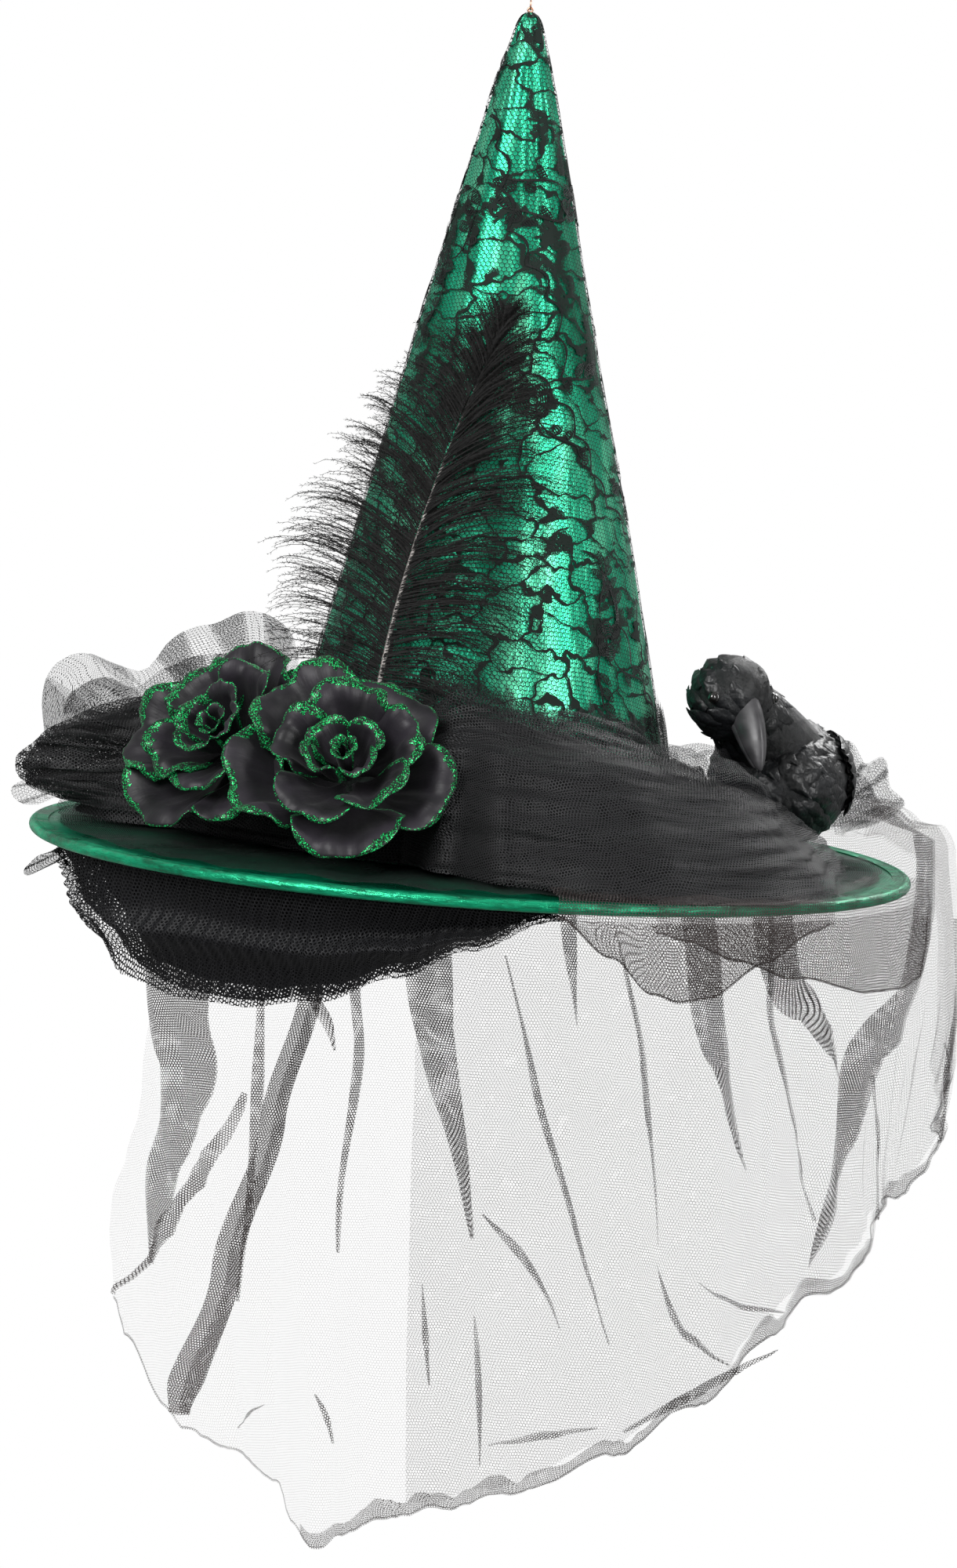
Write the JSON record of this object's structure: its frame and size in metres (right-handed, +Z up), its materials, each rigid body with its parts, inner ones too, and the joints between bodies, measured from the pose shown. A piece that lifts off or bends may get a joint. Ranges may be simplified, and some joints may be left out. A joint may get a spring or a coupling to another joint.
{
  "type": "witch hat",
  "caption": "Tall pointed costume hat with a flat wired brim, lace over satin, gathered tulle, roses, a plume, a perched bird and a long net veil.",
  "frame": {"origin": "centre of the head opening, halfway through the brim's thickness", "axes": "+Z up the cone's axis to its tip, -Y the way the wearer looks, +X to the side the bird sits on"},
  "size_m": [0.4234, 0.4134, 0.7249],
  "materials": {
    "buckram": "stiff woven buckram",
    "green_satin": "emerald satin, glossy along the folds",
    "black_lace": "black floral lace",
    "black_tape": "woven cotton tape",
    "brim_board": "stiff millinery board",
    "black_cover": "matt lining",
    "wire": "millinery wire",
    "copper_wire": "bare copper-coloured wire",
    "veil_net": "fine open net",
    "stiff_net": "coarse stiff net, several layers",
    "tulle": "gathered tulle",
    "rose_felt": "felt disc and moulded calyx",
    "rose_petal": "charcoal fabric petals edged with green glitter",
    "quill": "feather shaft",
    "plume": "soft barbs",
    "eye_bead": "glossy bead",
    "beak": "painted moulding",
    "raven_feathers": "smooth black feathers over foam"
  },
  "bodies": {
    "hat": {"brim_board": "brim_board", "brim_edge_binding": "green_satin", "brim_top_satin": "green_satin", "brim_under_cover": "black_cover", "brim_wire": "wire", "crown_lace": "black_lace", "crown_satin": "green_satin", "crown_seam_tape": "black_tape", "crown_stiffener": "buckram", "feather_quill": "quill", "feather_vane_left": "plume", "feather_vane_right": "plume", "feather_wrap": "black_tape", "raven_beak_lower": "beak", "raven_beak_upper": "beak", "raven_body": "raven_feathers", "raven_eyes": "eye_bead", "raven_feet": "wire", "raven_head": "raven_feathers", "raven_tail": "raven_feathers", "raven_wing_left": "raven_feathers", "raven_wing_right": "raven_feathers", "rose_back_base": "rose_felt", "rose_back_bud": "rose_petal", "rose_back_inner_petals": "rose_petal", "rose_back_middle_petals": "rose_petal", "rose_back_petal_1": "rose_petal", "rose_back_petal_2": "rose_petal", "rose_back_petal_3": "rose_petal", "rose_back_petal_4": "rose_petal", "rose_back_petal_5": "rose_petal", "rose_front_base": "rose_felt", "rose_front_bud": "rose_petal", "rose_front_inner_petals": "rose_petal", "rose_front_middle_petals": "rose_petal", "rose_front_petal_1": "rose_petal", "rose_front_petal_2": "rose_petal", "rose_front_petal_3": "rose_petal", "rose_front_petal_4": "rose_petal", "rose_front_petal_5": "rose_petal", "sweatband": "black_tape", "tip_eye": "copper_wire", "tulle_band_back": "tulle", "tulle_band_left": "tulle", "tulle_band_right": "tulle", "tulle_bow_left": "tulle", "tulle_pouf_left": "tulle", "tulle_swag_front": "tulle", "tulle_tuft_right": "tulle", "under_tulle_inner": "stiff_net", "under_tulle_middle": "stiff_net", "under_tulle_outer": "stiff_net", "veil_front_loop": "veil_net", "veil_panel_1": "veil_net", "veil_panel_2": "veil_net", "veil_panel_3": "veil_net", "veil_panel_4": "veil_net", "veil_panel_5": "veil_net", "veil_tail_left": "veil_net"},
    "ring": {"hanging_ring": "copper_wire"}
  },
  "joints": [
    {"name": "ring_swing", "type": "hinge", "parent": "hat", "child": "ring", "pos_m": [0, 0, 0.37976], "axis": [0, 1, 0], "range_deg": [-75, 75]}
  ]
}
